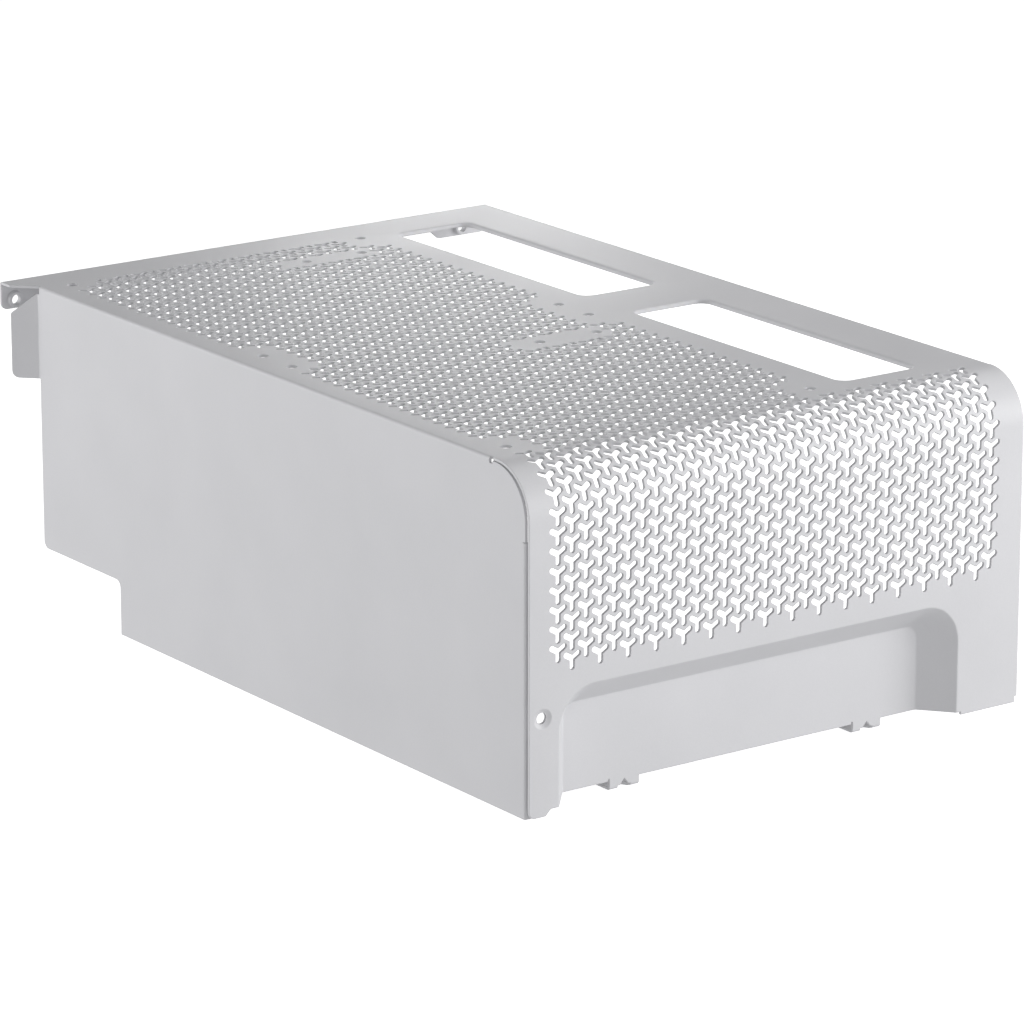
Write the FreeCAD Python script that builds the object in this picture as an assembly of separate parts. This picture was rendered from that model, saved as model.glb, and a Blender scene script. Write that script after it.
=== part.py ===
# Power supply shroud: one folded steel sheet, powder coated.
# A flat top with two fan hole squares and two cable openings, a plain left
# side panel, a perforated front that rolls down from the top, a drawn recess
# low in the front with two hook feet, and a stiffening flange at the rear.
#
# Work frame while drawing: X to the right, Y to the rear, Z up, with its
# origin on the outer top face at the rear left fan hole.  The finished solid
# is moved so that its origin is at the middle of its box, on the floor.
import FreeCAD, Part
import os
import math
import time
from FreeCAD import Vector as V

os.makedirs("parts", exist_ok=True)
t0 = time.time()


def say(*a):
    print(*a, round(time.time() - t0, 1), flush=True)


# ------------------------------------------------------------------ sheet
T = 0.8              # sheet thickness
RB = 1.0             # outer radius of the tight folds
RI = RB - T          # inner radius of the tight folds

# ------------------------------------------------------------------ outline
X_SIDE = -9.4        # outer face of the left side panel
X_RIGHT = 163.6      # right edge of the top
X_RIGHT_F = 163.9    # right edge of the rolled front
X_LEFT_F = -9.1      # left edge of the rolled front
Y_REAR = 16.5        # outer face of the rear flange
Y_FRONT = -248.6     # outer face of the front
R_ROLL = 15.0        # outer radius of the front roll
Z_SIDE = -98.7       # bottom edge of the side panel
Z_WALL = -96.46      # bottom edge of the recess walls
Z_LEG_R = -97.36     # bottom edge of the right leg
Z_TAB_L = -98.26     # lowest edge of the left leg
Z_FOOT = -99.21      # underside of the hook feet

# ------------------------------------------------------------------ top
FAN = 105.0          # hole square of a 120 mm fan
FAN_STEP = 120.0     # distance between the two fans
D_FAN = 3.4          # fan screw holes
PAIR_X = (74.1, 94.5)        # pairs of tie-down holes, across
PAIR_U = (16.1, 138.2)       # and from the rear fan row forward
D_PAIR = 3.4
CUT_X = (116.5, 145.6)       # cable openings, at the start of the rim's curve
CUT_U = ((0.6, 102.1), (123.4, 224.8))
CUT_R = 4.4                  # corner radius there
CUT_DEEP = 1.3               # depth of the turned-down rim
RIM_R = 0.9                  # its outer radius

# ------------------------------------------------------------------ slots
PITCH = 5.48                 # triangular lattice of three-armed slots
COL = PITCH * math.sqrt(3.0) / 2.0
ARM_W = 1.66                 # arm width
ARM_L = 2.38                 # centre to tip centre
SLOT_X0 = 0.4                # first column
SLOT_U0 = 3.55               # first row of the even columns on the top
SLOT_Z0 = -52.16             # row 0 on the front
ROLL_A0 = 4.62               # angle of row 14 on the roll, degrees
ROLL_STEP = 10.63            # angle per half pitch on the roll
CLIP = -0.6                  # where a plain strip's edge cuts off a slot's front arm
SEAM = 0.6                   # the top and front are drawn in strips: seam in front of a row's centres
TOP_SEAMS = (4, 7, 10, 13, 16, 19, 23, 27, 30, 33, 36, 39)   # rows of the even columns
FRONT_SEAMS = (3, 8)                                         # rows on the front

# ------------------------------------------------------------------ side
Y_SIDE_R = 4.27              # rear edge of the side panel
NOTCH_Y = -39.6              # lower rear notch
NOTCH_Z = -81.9
NOTCH_R = 2.3
FOLD_REAR = 3.9              # ends of the top fold
FOLD_FRONT = -230.4
CURVE_R = 14.1               # curved upper front corner of the side panel
CURVE_C = (-232.9, -15.0)    # its centre
RELIEF_Y = -231.9            # relief at the front end of the top fold
RELIEF_Z = -1.7
FLANGE_X = -0.5              # inner edge of the front flange of the side, round the leg's screw hole
FLANGE_X_UP = -2.8           # and above it, clear of the slots
FLANGE_STEP_Z = -59.5        # where it narrows
FLANGE_R = 0.7               # outer radius of its fold, which is sharp inside
FLANGE_Z = -20.5             # its upper end
FLANGE_GAP = 1.0             # air between it and the left leg

# ------------------------------------------------------------------ ear, tabs, wing
EAR_X = -15.6
EAR_Y = 10.8
TAB_Z = -8.75                # lower edge of the two rear screw tabs
FLG_Z = -6.3                 # lower edge of the rear flange between them
TAB_L = (-15.6, -3.0)
TAB_R = (145.4, 163.6)
TAB_HOLE = ((-11.1, -5.9), (153.9, -5.9))
D_TAB = 3.2
BOSS_D0 = 5.3                # drawn collars round the tab holes
BOSS_D1 = 4.7
BOSS_H = 1.4
WING_LEN = 8.25              # 45 degree wing at the rear of the side
WING_Y = 4.5                 # start of its bend
WING_BOT = -28.8
WING_TOP_IN = -2.4
WING_TOP_OUT = -8.7
WING_R = 2.2
WING_RI = 0.6

# ------------------------------------------------------------------ recess
REC_X = (0.9, 141.4)
REC_Z = -63.11
REC_R = 12.0
REC_D = 9.2                  # depth
REC_S = 7.8                  # inset of the back wall on each side
REC_F = 0.9                  # rounding where the walls meet the back wall
REC_RIM = 0.7                # rounding of the rim at the front
FOOT_X = (29.85, 115.85)     # middles of the hook feet
FOOT_W = 10.1
FOOT_BACK = 9.0              # length of the hook behind the wall's face
FOOT_V = 4.5                 # width of the V notch at the fold
FOOT_V_BACK = 4.2            # its length along the hook
FOOT_RELIEF = (0.6, 0.7)     # nick beside each hook, width and height

# ------------------------------------------------------------------ left leg
LEG_HOLE = (-4.65, -70.31)
D_LEG = 3.2
DIMPLE_D = 5.9
DIMPLE_H = 0.7


# =================================================================== helpers
def poly(pts, normal_up=None):
    return Part.Face(Part.makePolygon([V(*p) for p in pts] + [V(*pts[0])]))


def rounded(pts, radii):
    """Closed wire through 3-D points, with a radius at each corner."""
    n = len(pts)
    P = [V(*p) for p in pts]
    a_in, a_out, mids = [], [], []
    for i in range(n):
        r = radii[i]
        p = P[i]
        if r <= 0:
            a_in.append(p)
            a_out.append(p)
            mids.append(None)
            continue
        d1 = (P[i - 1] - p).normalize()
        d2 = (P[(i + 1) % n] - p).normalize()
        half = d1.getAngle(d2) / 2.0
        cut = r / math.tan(half)
        q1 = p + d1 * cut
        q2 = p + d2 * cut
        bis = (d1 + d2).normalize()
        c = p + bis * (r / math.sin(half))
        a_in.append(q1)
        a_out.append(q2)
        mids.append(c - bis * r)
    edges = []
    for i in range(n):
        if mids[i] is not None:
            edges.append(Part.Arc(a_in[i], mids[i], a_out[i]).toShape())
        j = (i + 1) % n
        if (a_in[j] - a_out[i]).Length > 1e-6:
            edges.append(Part.LineSegment(a_out[i], a_in[j]).toShape())
    return Part.Wire(edges)


def rrect(x0, x1, y0, y1, r, z):
    return rounded([(x0, y0, z), (x1, y0, z), (x1, y1, z), (x0, y1, z)], [r] * 4)


def circle(c, d, axis):
    return Part.Wire([Part.Circle(V(*c), V(*axis), d / 2.0).toShape()])


def cyl(c, axis, d, h):
    return Part.makeCylinder(d / 2.0, h, V(*c), V(*axis))


def cone(c, axis, d0, d1, h):
    return Part.makeCone(d0 / 2.0, d1 / 2.0, h, V(*c), V(*axis))


def slot(c, a, b, arms="all"):
    """Three-armed slot round c: one arm along -b, two towards +b.

    Beside a plain strip only its "rear" arms or its "front" arm are left.
    """
    hw = ARM_W / 2.0
    q = hw / math.sin(math.pi / 3.0)
    edges = []

    def at(x, y):
        return c + a * x + b * y

    def seg(p, q):
        edges.append(Part.LineSegment(p, q).toShape())

    if arms == "front":
        p0, p1, p2, p3 = at(-hw, CLIP), at(-hw, -ARM_L), at(hw, -ARM_L), at(hw, CLIP)
        seg(p0, p1)
        edges.append(Part.Arc(p1, at(0, -ARM_L - hw), p2).toShape())
        seg(p2, p3)
        seg(p3, p0)
        return Part.Wire(edges)
    first = None
    for k in (0, 1, 2) if arms == "all" else (1, 2):
        f = math.radians(-90.0 + 120.0 * k)
        dx, dy = math.cos(f), math.sin(f)
        f0, f1 = f - math.pi / 3.0, f + math.pi / 3.0
        i0 = at(q * math.cos(f0), q * math.sin(f0))
        i1 = at(q * math.cos(f1), q * math.sin(f1))
        t0 = at(ARM_L * dx + hw * dy, ARM_L * dy - hw * dx)
        t1 = at(ARM_L * dx - hw * dy, ARM_L * dy + hw * dx)
        tm = at((ARM_L + hw) * dx, (ARM_L + hw) * dy)
        first = first or i0
        seg(i0, t0)
        edges.append(Part.Arc(t0, tm, t1).toShape())
        seg(t1, i1)
    if arms == "rear":
        seg(i1, first)
    return Part.Wire(edges)


def face_with(wire, holes):
    return Part.makeFace([wire] + list(holes), "Part::FaceMakerCheese")


def bend(c, radial0, radial1, axis, length):
    """Quarter (or other) ring of a fold: arc from radial0 to radial1 about c."""
    c = V(*c)
    u0 = V(*radial0).normalize()
    u1 = V(*radial1).normalize()
    um = (u0 + u1).normalize()
    ri, ro = RI, RB
    e = [Part.Arc(c + u0 * ro, c + um * ro, c + u1 * ro).toShape(),
         Part.LineSegment(c + u1 * ro, c + u1 * ri).toShape(),
         Part.Arc(c + u1 * ri, c + um * ri, c + u0 * ri).toShape(),
         Part.LineSegment(c + u0 * ri, c + u0 * ro).toShape()]
    return Part.Face(Part.Wire(e)).extrude(V(*axis).normalize() * length)


EX, EY, EZ = V(1, 0, 0), V(0, 1, 0), V(0, 0, 1)
Y_ROLL = Y_FRONT + R_ROLL        # centre line of the roll, Z = -R_ROLL

# =================================================================== slots
top_slots, cut_tools = [], []


def top_rows(k):
    """Row numbers punched in column k of the top."""
    if k == 0:
        rows = list(range(1, 17)) + list(range(23, 39))
    elif k == 1:
        rows = list(range(0, 17)) + list(range(22, 39))
    elif k == 21:
        rows = list(range(1, 17)) + list(range(23, 39))
    elif k == 22:
        rows = list(range(2, 17)) + list(range(24, 39))
    elif k % 2 == 0:
        rows = list(range(-1, 42))
        if 14 <= k <= 20:
            rows = [j for j in rows if j not in (2, 24, 25)]
    else:
        rows = list(range(-1, 42))
        if 15 <= k <= 19:
            rows = [j for j in rows if j not in (2, 24)]
    return rows


def arms_left(k, j):
    """Slots at the rear edge and beside the two plain strips are cut short."""
    if k % 2 == 0 and 2 <= k <= 20 and j == -1:
        return "front"
    if k % 2 == 0 and 14 <= k <= 20 and j == 3:
        return "front"
    if k % 2 and 15 <= k <= 19:
        if j in (1, 23):
            return "rear"
        if j == 25:
            return "front"
    return "all"


for k in range(0, 23):
    for j in top_rows(k):
        u = SLOT_U0 + (j + 0.5 * (k % 2)) * PITCH
        x = SLOT_X0 + k * COL
        on_seam = k % 2 == 0 and j in TOP_SEAMS
        if not on_seam and u + ARM_L + ARM_W / 2.0 < -Y_ROLL - 0.3:
            top_slots.append(slot(V(x, -u, 0), EX, EY, arms_left(k, j)))
        else:
            cut_tools.append(Part.Face(slot(V(x, -u, 1), EX, EY)).extrude(V(0, 0, -4)))

front_slots = []
for i in range(0, 33):
    for h in range(-1, 23):
        if (i + h) % 2:
            continue
        x = SLOT_X0 + i * COL
        if h <= 12 and h not in FRONT_SEAMS:
            front_slots.append(slot(V(x, Y_FRONT, SLOT_Z0 + h * PITCH / 2.0), EX, EZ))
        elif h <= 13:
            w = slot(V(x, Y_FRONT - 1, SLOT_Z0 + h * PITCH / 2.0), EX, EZ)
            cut_tools.append(Part.Face(w).extrude(V(0, 4, 0)))
        else:
            a = math.radians(ROLL_A0 + ROLL_STEP * (h - 14))
            n = V(0, -math.cos(a), math.sin(a))
            b = V(0, math.sin(a), math.cos(a))
            c = V(x, Y_ROLL, -R_ROLL) + n * (R_ROLL + 1.0)
            cut_tools.append(Part.Face(slot(c, EX, b)).extrude(n * -4.0))
say("slots: top", len(top_slots), "front", len(front_slots), "over the roll", len(cut_tools))

# =================================================================== top plate
fold_x = X_SIDE + RB
rear_y = Y_REAR - RB
outline = Part.makePolygon([V(*p) for p in [
    (EAR_X, rear_y, 0), (X_RIGHT, rear_y, 0), (X_RIGHT, Y_ROLL, 0), (X_LEFT_F, Y_ROLL, 0),
    (X_LEFT_F, RELIEF_Y, 0), (fold_x, RELIEF_Y, 0), (fold_x, FOLD_REAR, 0), (EAR_X, EAR_Y, 0),
    (EAR_X, rear_y, 0)]])
holes = []
for f in (0, 1):
    for u in (0, FAN):
        for x in (0, FAN):
            holes.append(circle((x, -(u + f * FAN_STEP), 0), D_FAN, (0, 0, 1)))
for u in PAIR_U:
    for x in PAIR_X:
        holes.append(circle((x, -u, 0), D_PAIR, (0, 0, 1)))
for u0, u1 in CUT_U:
    holes.append(rrect(CUT_X[0], CUT_X[1], -u1, -u0, CUT_R, 0))
top = face_with(outline, holes).extrude(V(0, 0, -T))


# turned-down rims of the cable openings
def rim(u0, u1):
    x0, x1 = CUT_X
    r, n = RIM_R, RIM_R - T
    a = Part.Face(rrect(x0, x1, -u1, -u0, CUT_R, 0)).extrude(V(0, 0, -CUT_DEEP))
    b = Part.Face(rrect(x0 + r, x1 - r, -u1 + r, -u0 - r, CUT_R - r, 1)).extrude(V(0, 0, -CUT_DEEP - 2))
    c = Part.Face(rrect(x0 + n, x1 - n, -u1 + n, -u0 - n, CUT_R - n, 0)).extrude(V(0, 0, -CUT_DEEP))
    low = Part.makeBox(x1 - x0 + 10, u1 - u0 + 10, CUT_DEEP, V(x0 - 5, -u1 - 5, -T - CUT_DEEP))
    skirt = a.cut(c).common(low)
    ring = a.cut(b).cut(skirt)
    es = []
    for e in ring.Edges:
        bb = e.BoundBox
        if bb.ZMin > -1e-6 and bb.ZMax < 1e-6 and bb.XMin > x0 + r - 1e-3 and bb.XMax < x1 - r + 1e-3 \
                and bb.YMin > -u1 + r - 1e-3 and bb.YMax < -u0 - r + 1e-3:
            es.append(e)
    return ring.makeFillet(r - 0.02, es)


plate = top.multiFuse([rim(*CUT_U[0]), rim(*CUT_U[1])]).removeSplitter()
seams = [-(SLOT_U0 + j * PITCH + SEAM) for j in TOP_SEAMS]
top_ends = [Y_REAR + 1.0] + seams + [Y_ROLL - 1.0]
top_strips = []
for y1, y0 in zip(top_ends[:-1], top_ends[1:]):
    top_strips.append(plate.common(Part.makeBox(400, y1 - y0, 20, V(-100, y0, -10))))
say("top strips", len(top_strips))

# =================================================================== side panel
side_fold = bend((fold_x, FOLD_FRONT, -RB), (-1, 0, 0), (0, 0, 1), (0, 1, 0), FOLD_REAR - FOLD_FRONT)
flange_y = Y_FRONT + T + FLANGE_GAP            # outer face of the side's front flange
flange_bend = flange_y + T
yb = WING_Y
x = X_SIDE
yc, zc = CURVE_C


def on_curve(y):
    return zc + math.sqrt(max(0.0, CURVE_R ** 2 - (y - yc) ** 2))


z_start = on_curve(RELIEF_Y)
a_mid = math.radians(45)
edges = []


def line(p, q):
    edges.append(Part.LineSegment(V(x, *p), V(x, *q)).toShape())


line((FOLD_REAR, -RB), (FOLD_FRONT, -RB))
line((FOLD_FRONT, -RB), (FOLD_FRONT, RELIEF_Z))
line((FOLD_FRONT, RELIEF_Z), (RELIEF_Y, RELIEF_Z))
line((RELIEF_Y, RELIEF_Z), (RELIEF_Y, z_start))
pm = (yc - CURVE_R * math.cos(a_mid), zc + CURVE_R * math.sin(a_mid))
edges.append(Part.Arc(V(x, RELIEF_Y, z_start), V(x, *pm), V(x, yc - CURVE_R, zc)).toShape())
line((yc - CURVE_R, zc), (yc - CURVE_R, FLANGE_Z + 0.2))
line((yc - CURVE_R, FLANGE_Z + 0.2), (flange_bend, FLANGE_Z + 0.2))
line((flange_bend, FLANGE_Z + 0.2), (flange_bend, Z_SIDE))
line((flange_bend, Z_SIDE), (NOTCH_Y, Z_SIDE))
r = NOTCH_R
k45 = r * (1 - math.cos(math.pi / 4))
line((NOTCH_Y, Z_SIDE), (NOTCH_Y, NOTCH_Z - r))
edges.append(Part.Arc(V(x, NOTCH_Y, NOTCH_Z - r), V(x, NOTCH_Y + k45, NOTCH_Z - k45), V(x, NOTCH_Y + r, NOTCH_Z)).toShape())
line((NOTCH_Y + r, NOTCH_Z), (Y_SIDE_R - r, NOTCH_Z))
edges.append(Part.Arc(V(x, Y_SIDE_R - r, NOTCH_Z), V(x, Y_SIDE_R - k45, NOTCH_Z + k45), V(x, Y_SIDE_R, NOTCH_Z + r)).toShape())
line((Y_SIDE_R, NOTCH_Z + r), (Y_SIDE_R, WING_BOT))
line((Y_SIDE_R, WING_BOT), (yb, WING_BOT))
line((yb, WING_BOT), (yb, WING_TOP_IN))
line((yb, WING_TOP_IN), (FOLD_REAR, WING_TOP_IN))
line((FOLD_REAR, WING_TOP_IN), (FOLD_REAR, -RB))
side = Part.Face(Part.Wire(edges)).extrude(V(T, 0, 0))

# wing at 45 degrees: bend about a line at the outer side of the panel
wc = V(X_SIDE - WING_RI, yb, 0)
c45 = math.cos(math.pi / 4)
u0, um, u1 = V(1, 0, 0), V(math.cos(math.pi / 8), math.sin(math.pi / 8), 0), V(c45, c45, 0)
ri, ro = WING_RI, WING_RI + T
z0 = WING_BOT
e = [Part.Arc(wc + u0 * ro + EZ * z0, wc + um * ro + EZ * z0, wc + u1 * ro + EZ * z0).toShape(),
     Part.LineSegment(wc + u1 * ro + EZ * z0, wc + u1 * ri + EZ * z0).toShape(),
     Part.Arc(wc + u1 * ri + EZ * z0, wc + um * ri + EZ * z0, wc + u0 * ri + EZ * z0).toShape(),
     Part.LineSegment(wc + u0 * ri + EZ * z0, wc + u0 * ro + EZ * z0).toShape()]
wing_bend = Part.Face(Part.Wire(e)).extrude(V(0, 0, WING_TOP_IN - WING_BOT))
wd = V(-c45, c45, 0)
w0 = wc + u1 * ri
wing_pts = [w0 + EZ * WING_BOT, w0 + wd * WING_LEN + EZ * WING_BOT,
            w0 + wd * WING_LEN + EZ * WING_TOP_OUT, w0 + EZ * WING_TOP_IN]
wing = Part.Face(rounded([tuple(p) for p in wing_pts], [0, WING_R, 1.2, 0])).extrude(u1 * T)

# front flange of the side panel, folded in behind the left leg
fx0, fx1, fy1 = X_SIDE, X_SIDE + T, flange_y + T
side_front_bend = Part.Face(rounded([(fx0, flange_y, Z_SIDE), (fx1, flange_y, Z_SIDE), (fx1, fy1, Z_SIDE), (fx0, fy1, Z_SIDE)],
                                    [FLANGE_R, 0, 0, 0])).extrude(V(0, 0, FLANGE_Z - Z_SIDE))
fl = [(fx1, flange_y, Z_SIDE), (FLANGE_X - 2.0, flange_y, Z_SIDE), (FLANGE_X, flange_y, Z_SIDE + 2.0),
      (FLANGE_X, flange_y, FLANGE_STEP_Z - (FLANGE_X - FLANGE_X_UP)), (FLANGE_X_UP, flange_y, FLANGE_STEP_Z),
      (FLANGE_X_UP, flange_y, FLANGE_Z), (fx1, flange_y, FLANGE_Z)]
fl_wire = rounded(fl, [0, 0, 0, 1.0, 1.0, 1.5, 0])
flange = face_with(fl_wire, [circle((LEG_HOLE[0], flange_y, LEG_HOLE[1]), DIMPLE_D + 1.0, (0, 1, 0))]).extrude(V(0, T, 0))

# =================================================================== roll
c = V(X_LEFT_F, Y_ROLL, -R_ROLL)
ro, ri = R_ROLL, R_ROLL - T
u0, u1, um = V(0, 0, 1), V(0, -1, 0), V(0, -c45, c45)
e = [Part.Arc(c + u0 * ro, c + um * ro, c + u1 * ro).toShape(),
     Part.LineSegment(c + u1 * ro, c + u1 * ri).toShape(),
     Part.Arc(c + u1 * ri, c + um * ri, c + u0 * ri).toShape(),
     Part.LineSegment(c + u0 * ri, c + u0 * ro).toShape()]
roll = Part.Face(Part.Wire(e)).extrude(V(X_RIGHT_F - X_LEFT_F, 0, 0))

# =================================================================== front
yf = Y_FRONT
low_pts = [(X_LEFT_F, yf, -R_ROLL), (X_LEFT_F, yf, Z_TAB_L), (-3.7, yf, Z_TAB_L), (-1.85, yf, Z_WALL),
           (143.1, yf, Z_WALL), (143.1, yf, Z_LEG_R), (163.15, yf, Z_LEG_R), (163.15, yf, -95.6), (X_RIGHT_F, yf, -95.6),
           (X_RIGHT_F, yf, -R_ROLL)]
lower = Part.Face(rounded(low_pts, [0, 1.9, 0, 0, 0, 0, 0, 0, 0.4, 0])).extrude(V(0, T, 0))


def tunnel(inset0, inset1, y0, y1, fillet):
    """Drafted block open at the bottom: outline inset0 at y0 to inset1 at y1."""
    def wire(s, y):
        return rounded([(REC_X[0] + s, y, Z_WALL - 6), (REC_X[0] + s, y, REC_Z - s),
                        (REC_X[1] - s, y, REC_Z - s), (REC_X[1] - s, y, Z_WALL - 6)],
                       [0, REC_R - s, REC_R - s, 0])
    sol = Part.makeLoft([wire(inset0, y0), wire(inset1, y1)], True, True)
    if fillet > 0:
        es = [e for e in sol.Edges if abs(e.BoundBox.YMin - y1) < 1e-3 and abs(e.BoundBox.YMax - y1) < 1e-3
              and e.BoundBox.ZMax > Z_WALL - 5.5]
        sol = sol.makeFillet(fillet, es)
    return sol


slope = REC_S / REC_D
side_off = T / math.cos(math.atan(slope))
air = tunnel(-slope * 2.0, REC_S, yf - 2.0, yf + REC_D, REC_F)
shell = tunnel(-side_off, (REC_D + T) * slope - side_off, yf, yf + REC_D + T, REC_F + T)
keep = Part.makeBox(400, 60, 200, V(-100, yf, Z_WALL))
lower = lower.fuse(shell.common(keep)).cut(air).removeSplitter()
rim_edges = []
for e in lower.Edges:
    b = e.BoundBox
    if abs(b.YMin - yf) < 1e-4 and abs(b.YMax - yf) < 1e-4 and b.ZMax < REC_Z + 1e-3 \
            and b.XMin > REC_X[0] - 1e-3 and b.XMax < REC_X[1] + 1e-3 and b.ZLength + b.XLength > 8 \
            and b.ZMax > Z_WALL + 1.0:
        rim_edges.append(e)
say("recess rim edges", len(rim_edges))
lower = lower.makeFillet(REC_RIM, rim_edges)

# hook feet: the back wall runs on down, folds to the rear, and has a
# diamond notch across the fold
yb0 = yf + REC_D                    # front face of the back wall
for fx in FOOT_X:
    x0, x1 = fx - FOOT_W / 2.0, fx + FOOT_W / 2.0
    drop = Part.makeBox(FOOT_W, T, Z_WALL - (Z_FOOT + RB), V(x0, yb0, Z_FOOT + RB))
    fold = bend((x0, yb0 + RB, Z_FOOT + RB), (0, -1, 0), (0, 0, -1), (1, 0, 0), FOOT_W)
    plate = Part.Face(rounded([(x0, yb0 + RB, Z_FOOT), (x1, yb0 + RB, Z_FOOT), (x1, yb0 + FOOT_BACK, Z_FOOT),
                               (x0, yb0 + FOOT_BACK, Z_FOOT)], [0, 0, 1.5, 1.5])).extrude(V(0, 0, T))
    foot = drop.fuse([fold, plate])
    hv = FOOT_V / 2.0
    v1 = poly([(fx - hv, yb0 - 1, Z_FOOT - 0.01), (fx + hv, yb0 - 1, Z_FOOT - 0.01), (fx, yb0 - 1, Z_WALL)]).extrude(V(0, 1 + RB + 0.01, 0))
    v2 = poly([(fx - hv, yb0, Z_FOOT - 1), (fx + hv, yb0, Z_FOOT - 1), (fx, yb0 + FOOT_V_BACK, Z_FOOT - 1)]).extrude(V(0, 0, 1 + RB))
    foot = foot.cut(v1).cut(v2)
    lower = lower.fuse(foot)
    lower = lower.cut(Part.makeBox(FOOT_RELIEF[0], 3, FOOT_RELIEF[1] + 1, V(x0 - FOOT_RELIEF[0], yb0 - 1, Z_WALL - 1)))

# dimpled screw hole in the left leg, pressed inward
lx, lz = LEG_HOLE
bump = cone((lx, yf + T, lz), (0, 1, 0), DIMPLE_D + 0.5, DIMPLE_D - 0.6, DIMPLE_H)
lower = lower.fuse(bump).cut(cone((lx, yf, lz), (0, 1, 0), DIMPLE_D, D_LEG + 0.5, DIMPLE_H)).cut(
    cyl((lx, yf - 1, lz), (0, 1, 0), D_LEG, 6))
lower = lower.removeSplitter()

# =================================================================== rear flange
rear_bend = bend((EAR_X, rear_y, -RB), (0, 0, 1), (0, 1, 0), (1, 0, 0), X_RIGHT - EAR_X)
yr = Y_REAR - T
rear_pts = [(EAR_X, yr, -RB), (EAR_X, yr, TAB_Z), (TAB_L[1], yr, TAB_Z), (TAB_L[1] + 2.7, yr, FLG_Z),
            (TAB_R[0] - 2.7, yr, FLG_Z), (TAB_R[0], yr, TAB_Z), (X_RIGHT, yr, TAB_Z), (X_RIGHT, yr, -RB)]
rear = Part.Face(rounded(rear_pts, [0, 2.0, 1.5, 1.5, 1.5, 1.5, 2.0, 0])).extrude(V(0, T, 0))
for hx, hz in TAB_HOLE:
    rear = rear.fuse(cone((hx, yr, hz), (0, -1, 0), BOSS_D0, BOSS_D1, BOSS_H))
    rear = rear.cut(cyl((hx, yr - 3, hz), (0, 1, 0), D_TAB, 8))

# =================================================================== one sheet
front_ends = [Z_FOOT - 1.0] + [SLOT_Z0 + h * PITCH / 2.0 - SEAM for h in FRONT_SEAMS] + [-R_ROLL + 1.0]
front_strips = []
for z0, z1 in zip(front_ends[:-1], front_ends[1:]):
    front_strips.append(lower.common(Part.makeBox(400, 100, z1 - z0, V(-100, yf - 10, z0))))
left = side_fold.multiFuse([side, wing_bend, wing, side_front_bend, flange]).removeSplitter()
back = rear_bend.fuse(rear).removeSplitter()
base = top_strips[0].multiFuse(top_strips[1:] + front_strips + [left, back, roll])
say("folded:", len(base.Solids), "solids", len(base.Faces), "faces", "valid", base.isValid())
sheet = base.cut(cut_tools)
say("roll slots:", len(sheet.Solids), "solids", len(sheet.Faces), "faces", "valid", sheet.isValid())


def flat_faces(faces, axis, value):
    """Numbers of the flat faces on the plane axis = value."""
    found = []
    for n, f in enumerate(faces):
        b = f.BoundBox
        lo, hi = ((b.XMin, b.XMax), (b.YMin, b.YMax), (b.ZMin, b.ZMax))[axis]
        if abs(lo - value) < 1e-4 and abs(hi - value) < 1e-4:
            found.append(n)
    return found


def punched(faces, axis, outer, inner, along, ends, wires, through):
    """Open straight-walled slots in the strips of a flat panel, between two of its faces."""
    outs, ins = flat_faces(faces, axis, outer), flat_faces(faces, axis, inner)
    faces, walls = list(faces), []
    for e0, e1 in zip(ends[:-1], ends[1:]):
        lo, hi = min(e0, e1), max(e0, e1)
        mine = [w for w in wires if lo < w.CenterOfMass[along] < hi]
        no = max((n for n in outs if lo < faces[n].CenterOfMass[along] < hi), key=lambda n: faces[n].Area)
        ni = max((n for n in ins if lo < faces[n].CenterOfMass[along] < hi), key=lambda n: faces[n].Area)
        f_out, f_in = faces[no], faces[ni]
        for w in mine:
            sh = w.extrude(through)
            loop = []
            for f in sh.Faces:
                walls.append(f.reversed())
                for e in f.Edges:
                    if all(abs((v.X, v.Y, v.Z)[axis] - inner) < 1e-6 for v in e.Vertexes):
                        e.Orientation = "Forward"
                        loop.append(e)
            f_out = Part.Face(f_out, w.reversed())
            f_in = Part.Face(f_in, Part.Wire(loop))
        faces[no], faces[ni] = f_out, f_in
        say("strip", round(lo, 2), round(hi, 2), "slots", len(mine), "areas", round(f_out.Area, 2), round(f_in.Area, 2))
    return faces + walls


solid = max(sheet.Solids, key=lambda s: s.Volume)
v0 = solid.Volume
faces = punched(solid.Faces, 2, 0.0, -T, 1, top_ends, top_slots, V(0, 0, -T))
faces = punched(faces, 1, Y_FRONT, Y_FRONT + T, 2, front_ends, front_slots, V(0, T, 0))
say("faces", len(faces))
solid = Part.Solid(Part.Shell(faces))
wanted = sum(Part.Face(w).Area for w in top_slots + front_slots) * T
say("removed", round(v0 - solid.Volume, 2), "wanted", round(wanted, 2))
x_mid = (EAR_X + X_RIGHT_F) / 2.0
y_mid = (Y_FRONT + Y_REAR) / 2.0
solid.translate(V(-x_mid, -y_mid, -Z_FOOT))
say("volume mm3", round(solid.Volume, 1), "closed", solid.isClosed())
say("frame shift", round(-x_mid, 3), round(-y_mid, 3), round(-Z_FOOT, 3))
solid.exportStep("parts/shroud.step")
say("done")
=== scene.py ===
import bpy
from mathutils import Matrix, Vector

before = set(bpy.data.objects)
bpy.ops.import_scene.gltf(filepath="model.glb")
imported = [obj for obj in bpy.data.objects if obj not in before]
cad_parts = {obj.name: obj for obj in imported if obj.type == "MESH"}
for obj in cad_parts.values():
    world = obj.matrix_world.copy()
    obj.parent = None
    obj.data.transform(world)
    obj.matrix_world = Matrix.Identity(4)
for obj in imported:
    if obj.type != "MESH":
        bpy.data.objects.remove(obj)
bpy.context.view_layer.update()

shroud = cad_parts["shroud"]
scene = bpy.context.scene


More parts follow.
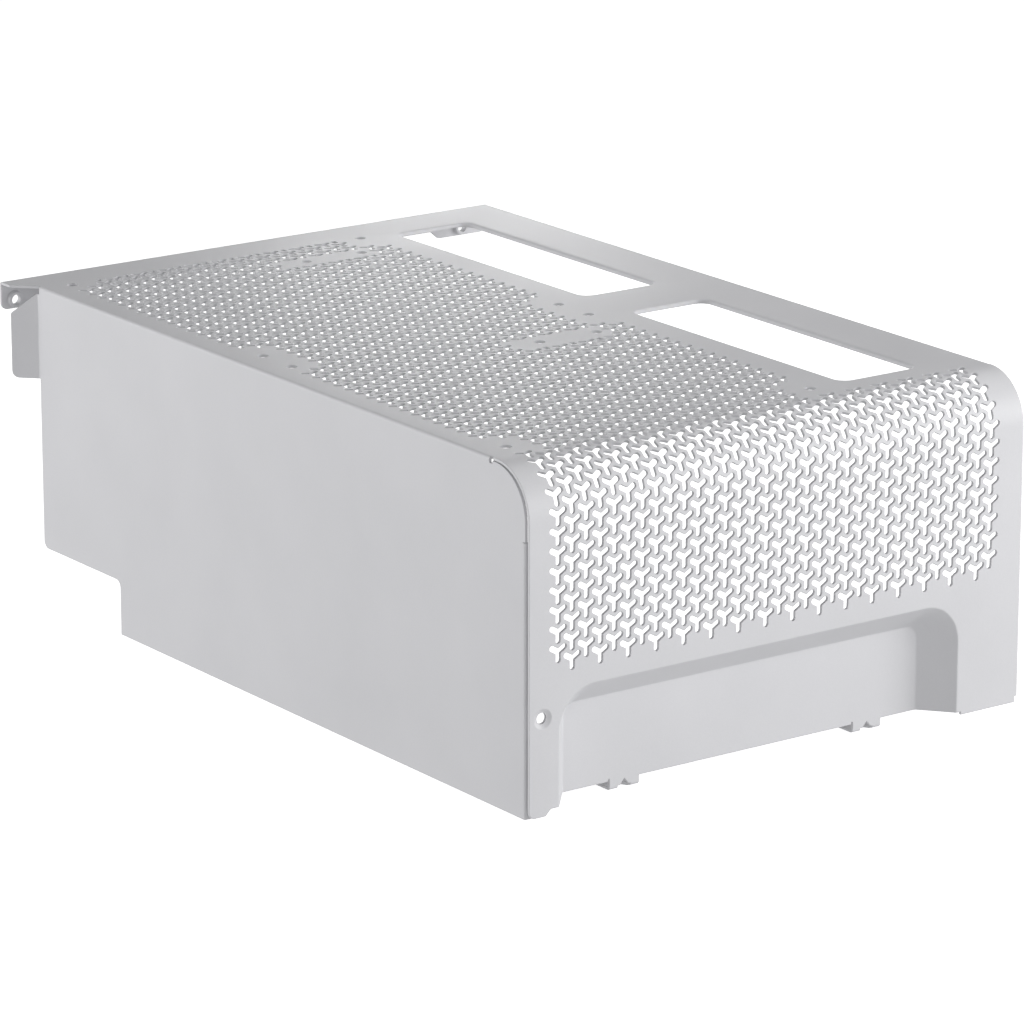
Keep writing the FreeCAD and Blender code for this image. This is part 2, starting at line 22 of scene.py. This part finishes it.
# ------------------------------------------------------------------ powder coat
def powder_coat():
    """Light cool grey powder coat: fine orange peel, faint mottling, satin gloss."""
    m = bpy.data.materials.new("powder_coat")
    m.use_nodes = True
    nt = m.node_tree
    nt.nodes.clear()
    add = nt.nodes.new
    link = nt.links.new
    out = add("ShaderNodeOutputMaterial")
    bsdf = add("ShaderNodeBsdfPrincipled")
    link(bsdf.outputs["BSDF"], out.inputs["Surface"])
    bsdf.inputs["IOR"].default_value = 1.47
    co = add("ShaderNodeTexCoord")

    # faint cloudiness of the coat, some centimetres wide
    cloud = add("ShaderNodeTexNoise")
    cloud.inputs["Scale"].default_value = 34.0
    cloud.inputs["Detail"].default_value = 3.0
    cloud.inputs["Roughness"].default_value = 0.55
    link(co.outputs["Object"], cloud.inputs["Vector"])

    # single powder grains, under half a millimetre
    grain = add("ShaderNodeTexNoise")
    grain.inputs["Scale"].default_value = 2600.0
    grain.inputs["Detail"].default_value = 2.0
    grain.inputs["Roughness"].default_value = 0.6
    link(co.outputs["Object"], grain.inputs["Vector"])

    # orange peel, about a millimetre
    peel = add("ShaderNodeTexNoise")
    peel.inputs["Scale"].default_value = 900.0
    peel.inputs["Detail"].default_value = 1.5
    peel.inputs["Roughness"].default_value = 0.45
    link(co.outputs["Object"], peel.inputs["Vector"])

    both = add("ShaderNodeMix")
    both.data_type = "FLOAT"
    both.inputs[0].default_value = 0.45
    link(cloud.outputs["Fac"], both.inputs[2])
    link(grain.outputs["Fac"], both.inputs[3])

    tint = add("ShaderNodeValToRGB")
    tint.color_ramp.elements[0].position = 0.30
    tint.color_ramp.elements[0].color = (0.595, 0.594, 0.611, 1.0)
    tint.color_ramp.elements[1].position = 0.70
    tint.color_ramp.elements[1].color = (0.636, 0.634, 0.651, 1.0)
    link(both.outputs[0], tint.inputs["Fac"])
    link(tint.outputs["Color"], bsdf.inputs["Base Color"])

    rough = add("ShaderNodeMapRange")
    rough.inputs["From Min"].default_value = 0.3
    rough.inputs["From Max"].default_value = 0.7
    rough.inputs["To Min"].default_value = 0.46
    rough.inputs["To Max"].default_value = 0.58
    link(both.outputs[0], rough.inputs["Value"])
    link(rough.outputs["Result"], bsdf.inputs["Roughness"])

    # the coat rounds every cut edge a little
    edge = add("ShaderNodeBevel")
    edge.samples = 4
    edge.inputs["Radius"].default_value = 0.0003

    bump_p = add("ShaderNodeBump")
    link(edge.outputs["Normal"], bump_p.inputs["Normal"])
    bump_p.inputs["Strength"].default_value = 0.10
    bump_p.inputs["Distance"].default_value = 0.00012
    link(peel.outputs["Fac"], bump_p.inputs["Height"])
    bump_g = add("ShaderNodeBump")
    bump_g.inputs["Strength"].default_value = 0.12
    bump_g.inputs["Distance"].default_value = 0.00006
    link(grain.outputs["Fac"], bump_g.inputs["Height"])
    link(bump_p.outputs["Normal"], bump_g.inputs["Normal"])
    link(bump_g.outputs["Normal"], bsdf.inputs["Normal"])
    return m


coat = powder_coat()
for s in shroud.material_slots:
    s.material = coat
if not shroud.material_slots:
    shroud.data.materials.append(coat)


# ------------------------------------------------------------------ smooth folds
def smooth_by_angle(obj, degrees):
    """Round folds shade smoothly, punched and cut edges stay sharp."""
    ng = bpy.data.node_groups.new("smooth_by_angle", "GeometryNodeTree")
    ng.interface.new_socket("Geometry", in_out="INPUT", socket_type="NodeSocketGeometry")
    ng.interface.new_socket("Geometry", in_out="OUTPUT", socket_type="NodeSocketGeometry")
    gi = ng.nodes.new("NodeGroupInput")
    go = ng.nodes.new("NodeGroupOutput")
    angle = ng.nodes.new("GeometryNodeInputMeshEdgeAngle")
    less = ng.nodes.new("FunctionNodeCompare")
    less.data_type = "FLOAT"
    less.operation = "LESS_EQUAL"
    less.inputs["B"].default_value = degrees * 3.14159265 / 180.0
    merge = ng.nodes.new("GeometryNodeMergeByDistance")
    merge.inputs["Distance"].default_value = 1e-6
    faces = ng.nodes.new("GeometryNodeSetShadeSmooth")
    faces.domain = "FACE"
    edges = ng.nodes.new("GeometryNodeSetShadeSmooth")
    edges.domain = "EDGE"
    ng.links.new(gi.outputs[0], merge.inputs["Geometry"])
    ng.links.new(merge.outputs["Geometry"], faces.inputs["Geometry"])
    ng.links.new(faces.outputs["Geometry"], edges.inputs["Geometry"])
    ng.links.new(angle.outputs["Unsigned Angle"], less.inputs["A"])
    ng.links.new(less.outputs["Result"], edges.inputs["Shade Smooth"])
    ng.links.new(edges.outputs["Geometry"], go.inputs[0])
    mod = obj.modifiers.new("smooth_by_angle", "NODES")
    mod.node_group = ng


smooth_by_angle(shroud, 25.0)

# ------------------------------------------------------------------ floor
mesh = bpy.data.meshes.new("floor")
h = 6.0
mesh.from_pydata([(-h, -h, 0), (h, -h, 0), (h, h, 0), (-h, h, 0)], [], [(0, 1, 2, 3)])
floor = bpy.data.objects.new("floor", mesh)
floor.location = (0, 0, -0.0002)
scene.collection.objects.link(floor)
fm = bpy.data.materials.new("floor")
fm.use_nodes = True
fb = fm.node_tree.nodes["Principled BSDF"]
fb.inputs["Base Color"].default_value = (0.6, 0.6, 0.6, 1.0)
fb.inputs["Roughness"].default_value = 0.9
fb.inputs["Specular IOR Level"].default_value = 0.1
fb.inputs["Emission Color"].default_value = (1.0, 1.0, 1.0, 1.0)
fb.inputs["Emission Strength"].default_value = 0.85
mesh.materials.append(fm)
floor.visible_diffuse = False
floor.visible_glossy = False

# ------------------------------------------------------------------ light
world = bpy.data.worlds.new("studio")
scene.world = world
world.use_nodes = True
wt = world.node_tree
bg = wt.nodes["Background"]
bg.inputs["Strength"].default_value = 1.0
way = wt.nodes.new("ShaderNodeTexCoord")
split = wt.nodes.new("ShaderNodeSeparateXYZ")
ramp = wt.nodes.new("ShaderNodeValToRGB")
half = wt.nodes.new("ShaderNodeMapRange")
half.inputs["From Min"].default_value = -1.0
half.inputs["From Max"].default_value = 1.0
wt.links.new(way.outputs["Generated"], split.inputs["Vector"])
wt.links.new(split.outputs["Z"], half.inputs["Value"])
wt.links.new(half.outputs["Result"], ramp.inputs["Fac"])
wt.links.new(ramp.outputs["Color"], bg.inputs["Color"])
# pale below, a soft horizon, and a dim ceiling
for at, grey in ((0.0, 0.66), (0.45, 0.62), (0.54, 0.48), (0.75, 0.19), (1.0, 0.12)):
    if at in (0.0, 1.0):
        e = ramp.color_ramp.elements[0 if at == 0.0 else -1]
        e.position = at
    else:
        e = ramp.color_ramp.elements.new(at)
    e.color = (grey * 0.985, grey * 0.99, grey, 1.0)
aim = Vector((0.0, 0.0, 0.05))


def softbox(name, direction, distance, size, power, colour=(1.0, 1.0, 1.0), at=None):
    light = bpy.data.lights.new(name, "AREA")
    light.shape = "RECTANGLE"
    light.size, light.size_y = size
    light.energy = power
    light.color = colour
    o = bpy.data.objects.new(name, light)
    target = Vector(at) if at else aim
    d = Vector(direction).normalized()
    o.location = target + d * distance
    o.rotation_euler = (-d).to_track_quat("-Z", "Y").to_euler()
    o.visible_camera = False
    scene.collection.objects.link(o)
    return o


softbox("left_box", (-0.80, 0.52, 0.24), 1.0, (0.8, 0.5), 6.8, at=(-0.084, 0.115, 0.05))
softbox("right_box", (0.70, -0.66, 0.27), 0.85, (0.7, 0.5), 7.3, at=(0.09, -0.132, 0.05))
softbox("top_box", (0.50, 0.10, 0.86), 0.75, (0.5, 0.5), 1.85, at=(0.06, -0.11, 0.1))
softbox("rear_box", (0.56, 0.78, 0.278), 0.33, (0.14, 0.12), 0.24, at=(0.068, 0.122, 0.1))
softbox("front_fill", (-0.58, -0.76, 0.28), 0.70, (0.4, 0.4), 1.0, at=(-0.02, -0.11, 0.08))

# ------------------------------------------------------------------ camera
cam = bpy.data.cameras.new("camera")
cam.sensor_fit = "HORIZONTAL"
cam.sensor_width = 36.0
cam.lens = 195.7
cam.shift_x = -0.0011
cam.shift_y = 0.0
cam.clip_start = 0.05
cam.clip_end = 50.0
eye = bpy.data.objects.new("camera", cam)
eye.location = (-0.91695, -1.28845, 0.50051)
eye.rotation_euler = Vector((0.5595, 0.7808, -0.2781)).to_track_quat("-Z", "Y").to_euler()
scene.collection.objects.link(eye)
scene.camera = eye
scene.view_settings.view_transform = "Standard"
